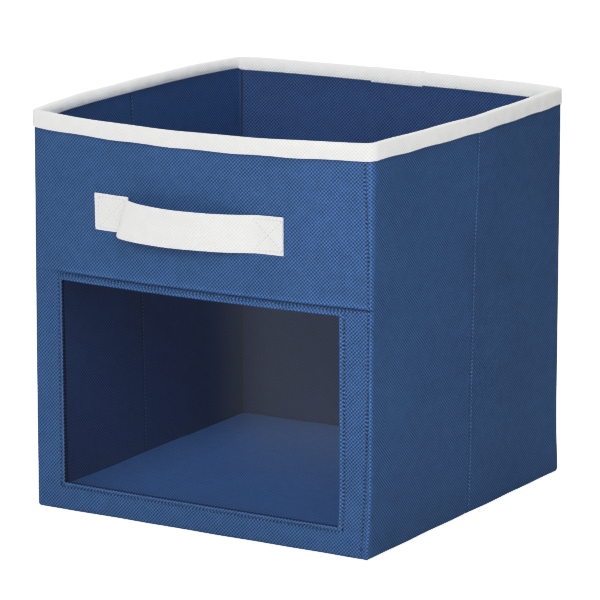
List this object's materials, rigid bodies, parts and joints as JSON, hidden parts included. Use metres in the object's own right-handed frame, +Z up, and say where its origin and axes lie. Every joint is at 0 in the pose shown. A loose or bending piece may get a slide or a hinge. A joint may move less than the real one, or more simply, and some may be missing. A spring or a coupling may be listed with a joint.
{
  "type": "fabric storage bin",
  "caption": "Open-topped collapsible cube bin in navy non-woven fabric over chipboard, with a clear front window, white bound rim and a white strap handle.",
  "frame": {"origin": "centre of the underside of the base fabric, on the surface the bin stands on", "axes": "front with the window and handle faces -Y, +X is the right-hand side, +Z is up"},
  "size_m": [0.2686, 0.2847, 0.2808],
  "materials": {
    "navy_fabric": "embossed non-woven",
    "navy_lining": "embossed non-woven",
    "white_tape": "embossed non-woven",
    "white_strap": "embossed non-woven",
    "white_thread": "matt thread",
    "navy_thread": "matt thread",
    "clear_film": "clear",
    "chipboard": "matt"
  },
  "bodies": {
    "back_wall": {"back_outer_fabric": "navy_fabric", "back_board": "chipboard", "back_lining": "navy_lining", "back_rim_tape": "white_tape", "rim_tape_overlap": "white_tape", "base_fabric": "navy_fabric", "base_seam_band": "navy_fabric", "base_seam_allowance": "navy_fabric"},
    "right_rear_panel": {"right_rear_outer_fabric": "navy_fabric", "right_rear_board": "chipboard", "right_rear_lining": "navy_lining", "right_rear_rim_tape": "white_tape"},
    "right_front_panel": {"right_front_outer_fabric": "navy_fabric", "right_front_board": "chipboard", "right_front_lining": "navy_lining", "right_front_rim_tape": "white_tape"},
    "left_rear_panel": {"left_rear_outer_fabric": "navy_fabric", "left_rear_board": "chipboard", "left_rear_lining": "navy_lining", "left_rear_rim_tape": "white_tape"},
    "left_front_panel": {"left_front_outer_fabric": "navy_fabric", "left_front_board": "chipboard", "left_front_lining": "navy_lining", "left_front_rim_tape": "white_tape"},
    "front_wall": {"front_upper_fabric": "navy_fabric", "window_frame_fabric": "navy_fabric", "front_lining": "navy_lining", "front_upper_board": "chipboard", "frame_left_board": "chipboard", "frame_right_board": "chipboard", "frame_bottom_board": "chipboard", "window_film": "clear_film", "window_hem": "navy_fabric", "front_rim_tape": "white_tape", "handle_left_end": "white_strap", "handle_right_end": "white_strap", "handle_left_stitching": "white_thread", "handle_right_stitching": "white_thread", "window_stitching": "navy_thread", "front_corner_stitching": "navy_thread"},
    "handle": {"handle_loop": "white_strap"},
    "base_board": {"base_board_core": "chipboard", "base_board_cover": "navy_fabric", "base_board_cover_under": "navy_fabric"}
  },
  "joints": [
    {"name": "fold", "type": "hinge", "parent": "back_wall", "child": "right_rear_panel", "pos_m": [0.1292, 0.1292, 0.14], "axis": [0, 0, -1], "range_deg": [0, 88]},
    {"name": "right_centre_fold", "type": "hinge", "parent": "right_rear_panel", "child": "right_front_panel", "pos_m": [0.1346, 0, 0.14], "axis": [0, 0, 1], "range_deg": [0, 176]},
    {"name": "front_right_corner_fold", "type": "hinge", "parent": "right_front_panel", "child": "front_wall", "pos_m": [0.1292, -0.1292, 0.14], "axis": [0, 0, -1], "range_deg": [0, 88]},
    {"name": "left_rear_corner_fold", "type": "hinge", "parent": "back_wall", "child": "left_rear_panel", "pos_m": [-0.1292, 0.1292, 0.14], "axis": [0, 0, 1], "range_deg": [0, 88]},
    {"name": "left_centre_fold", "type": "hinge", "parent": "left_rear_panel", "child": "left_front_panel", "pos_m": [-0.1346, 0, 0.14], "axis": [0, 0, -1], "range_deg": [0, 176]},
    {"name": "base_board_lift", "type": "slide", "parent": "back_wall", "child": "base_board", "axis": [0, 0, 1], "range_m": [0, 0.3]},
    {"name": "handle_swing", "type": "hinge", "parent": "front_wall", "child": "handle", "pos_m": [-0.0029, -0.13425, 0.2146], "axis": [1, 0, 0], "range_deg": [-25, 25]}
  ],
  "couplings": [
    {"joint": "right_centre_fold", "follows": "fold", "ratio": 2},
    {"joint": "front_right_corner_fold", "follows": "fold", "ratio": 1},
    {"joint": "left_rear_corner_fold", "follows": "fold", "ratio": 1},
    {"joint": "left_centre_fold", "follows": "fold", "ratio": 2}
  ]
}
